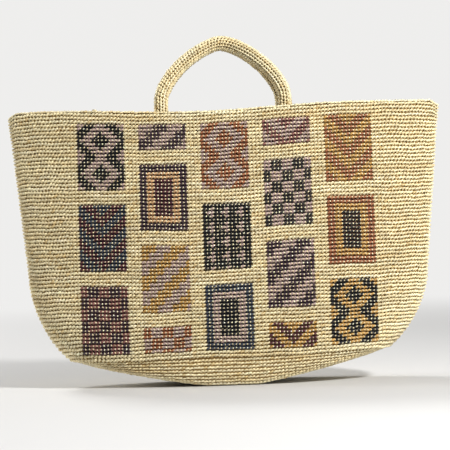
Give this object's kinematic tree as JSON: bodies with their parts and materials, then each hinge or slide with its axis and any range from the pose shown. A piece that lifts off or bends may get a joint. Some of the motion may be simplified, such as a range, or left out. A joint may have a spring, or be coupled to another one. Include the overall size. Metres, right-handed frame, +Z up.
{
  "type": "raffia basket bag",
  "caption": "Soft crocheted raffia basket bag, boat-shaped base, wide mouth, colour-worked front blocks and a pair of swinging tubular arch handles.",
  "frame": {"origin": "on the floor, under the middle of the base's flat", "axes": "+X to the right along the mouth seen from the front, +Y from the front to the back, +Z up"},
  "size_m": [0.4532, 0.1215, 0.3628],
  "materials": {
    "raffia_natural": "undyed raffia yarn, satin straw sheen",
    "raffia_charcoal": "dyed raffia yarn, satin",
    "raffia_ochre": "dyed raffia yarn, satin",
    "raffia_mauve": "dyed raffia yarn, satin",
    "raffia_slate": "dyed raffia yarn, satin",
    "raffia_rust": "dyed raffia yarn, satin",
    "raffia_plum": "dyed raffia yarn, satin",
    "raffia_rose": "dyed raffia yarn, satin",
    "core_cotton": "matt cotton cord"
  },
  "bodies": {
    "bag": {"base_oval": "raffia_natural", "body_wall": "raffia_natural", "rim_edging": "raffia_natural", "fasten_off_knot": "raffia_natural", "front_block_c1_1": "raffia_charcoal", "front_block_c1_2": "raffia_slate", "front_block_c1_3": "raffia_rose", "front_block_c2_1": "raffia_mauve", "front_block_c2_2": "raffia_plum", "front_block_c2_3": "raffia_ochre", "front_block_c2_4": "raffia_rust", "front_block_c3_1": "raffia_rust", "front_block_c3_2": "raffia_charcoal", "front_block_c3_3": "raffia_slate", "front_block_c4_1": "raffia_rose", "front_block_c4_2": "raffia_mauve", "front_block_c4_3": "raffia_plum", "front_block_c4_4": "raffia_ochre", "front_block_c5_1": "raffia_ochre", "front_block_c5_2": "raffia_rust", "front_block_c5_3": "raffia_charcoal", "front_left_foot": "raffia_natural", "front_right_foot": "raffia_natural", "back_left_foot": "raffia_natural", "back_right_foot": "raffia_natural", "front_left_lashing_1": "raffia_natural", "front_left_lashing_2": "raffia_natural", "front_left_lashing_3": "raffia_natural", "front_right_lashing_1": "raffia_natural", "front_right_lashing_2": "raffia_natural", "front_right_lashing_3": "raffia_natural", "back_left_lashing_1": "raffia_natural", "back_left_lashing_2": "raffia_natural", "back_left_lashing_3": "raffia_natural", "back_right_lashing_1": "raffia_natural", "back_right_lashing_2": "raffia_natural", "back_right_lashing_3": "raffia_natural"},
    "front_handle": {"front_handle_sleeve": "raffia_natural", "front_handle_core": "core_cotton"},
    "back_handle": {"back_handle_sleeve": "raffia_natural", "back_handle_core": "core_cotton"}
  },
  "joints": [
    {"name": "front_handle_swing", "type": "hinge", "parent": "bag", "child": "front_handle", "pos_m": [0, -0.02398, 0.2986], "axis": [1, 0, 0], "range_deg": [0, 110]},
    {"name": "back_handle_swing", "type": "hinge", "parent": "bag", "child": "back_handle", "pos_m": [-0.0015, 0.02391, 0.2986], "axis": [-1, 0, 0], "range_deg": [0, 110]}
  ]
}
